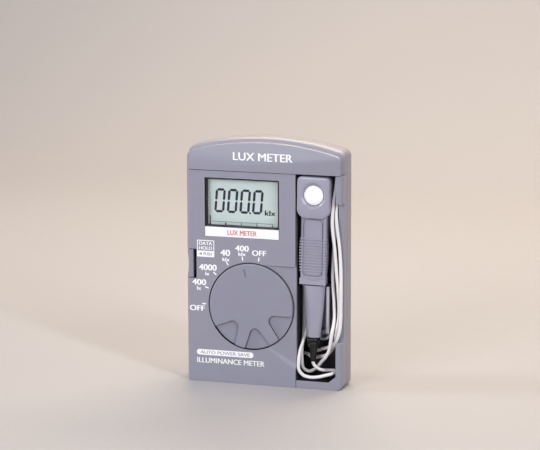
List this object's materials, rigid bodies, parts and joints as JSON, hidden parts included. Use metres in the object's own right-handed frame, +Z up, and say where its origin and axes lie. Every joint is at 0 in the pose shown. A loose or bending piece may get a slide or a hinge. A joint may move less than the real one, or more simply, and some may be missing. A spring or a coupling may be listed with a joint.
{
  "type": "light meter",
  "caption": "Pocket illuminance meter with a range dial, a hold key and a corded light probe stowed in a bay along its right side.",
  "frame": {"origin": "middle of the footprint of the bottom edge, the meter standing upright", "axes": "+Z up the face, -Y out of the face towards the user, +X to the right seen from the front"},
  "size_m": [0.076, 0.018, 0.117],
  "materials": {
    "case": "fine satin texture, lilac grey",
    "rear": "fine satin texture, grey",
    "key": "satin, moulded grip ribs",
    "dial": "fine satin texture, lilac grey",
    "probe_shell": "fine satin texture, lilac grey",
    "grip": "soft, ribbed, lilac grey",
    "black_rubber": "glossy moulded rubber",
    "strip_white": "printed film",
    "cable": "smooth flexible sheath",
    "diffuser_white": "opal, smooth",
    "window": "clear, polished",
    "lcd": "pale green-grey, matt polariser",
    "black_plastic": "moulded",
    "board": "solder mask",
    "acetal": "moulded",
    "steel": "bright plated",
    "brass": "bright spring strip",
    "filter": "green colour-correcting filter",
    "silicon": "glossy cell"
  },
  "bodies": {
    "case_body": {"front_case": "case", "header_panel": "case", "bay_tray": "case", "probe_cradle": "case", "rear_case": "rear", "cable_grommet": "black_rubber", "zebra_strip": "black_rubber", "label_strip": "strip_white", "sensor_cable": "cable", "window_lens": "window", "lcd_glass": "lcd", "lcd_holder": "black_plastic", "meter_chip": "black_plastic", "capacitor_1": "black_plastic", "capacitor_2": "black_plastic", "hold_switch": "black_plastic", "main_board": "board", "detent_ring": "acetal", "calibration_trimmer": "acetal", "lcd_reflector": "steel", "crystal": "steel", "cell_1": "steel", "cell_2": "steel", "cell_link": "steel", "case_screw_1": "steel", "case_screw_2": "steel", "case_screw_3": "steel", "case_screw_4": "steel", "board_screw_1": "steel", "board_screw_2": "steel", "cell_contact_1": "brass", "cell_contact_2": "brass"},
    "dial_body": {"range_dial": "dial", "contact_rotor": "acetal", "dial_clip": "steel", "detent_spring_1": "steel", "detent_spring_2": "steel", "detent_ball_1": "steel", "detent_ball_2": "steel", "wiper_1": "brass", "wiper_2": "brass", "wiper_3": "brass"},
    "hold_body": {"hold_key": "key", "hold_plunger": "acetal"},
    "cover_body": {"battery_cover": "rear"},
    "probe_body": {"probe_front_shell": "probe_shell", "probe_back_shell": "probe_shell", "grip_pad": "grip", "probe_barrel": "probe_shell", "strain_relief": "black_rubber", "diffuser": "diffuser_white", "filter_disc": "filter", "photodiode": "silicon", "probe_board": "board", "probe_screw": "steel"}
  },
  "joints": [
    {"name": "dial_turn", "type": "hinge", "parent": "case_body", "child": "dial_body", "pos_m": [-0.0062, -0.0089, 0.0375], "axis": [0, -1, 0], "range_deg": [-20, 80]},
    {"name": "hold_press", "type": "slide", "parent": "case_body", "child": "hold_body", "axis": [1, 0, 0], "range_m": [0, 0.0008], "stiffness_N_per_m": 400, "springref_m": -0.0006},
    {"name": "probe_draw", "type": "slide", "parent": "case_body", "child": "probe_body", "axis": [0, -1, 0], "range_m": [0, 0.02]},
    {"name": "cover_open", "type": "slide", "parent": "case_body", "child": "cover_body", "axis": [0, 1, 0], "range_m": [0, 0.008]}
  ]
}
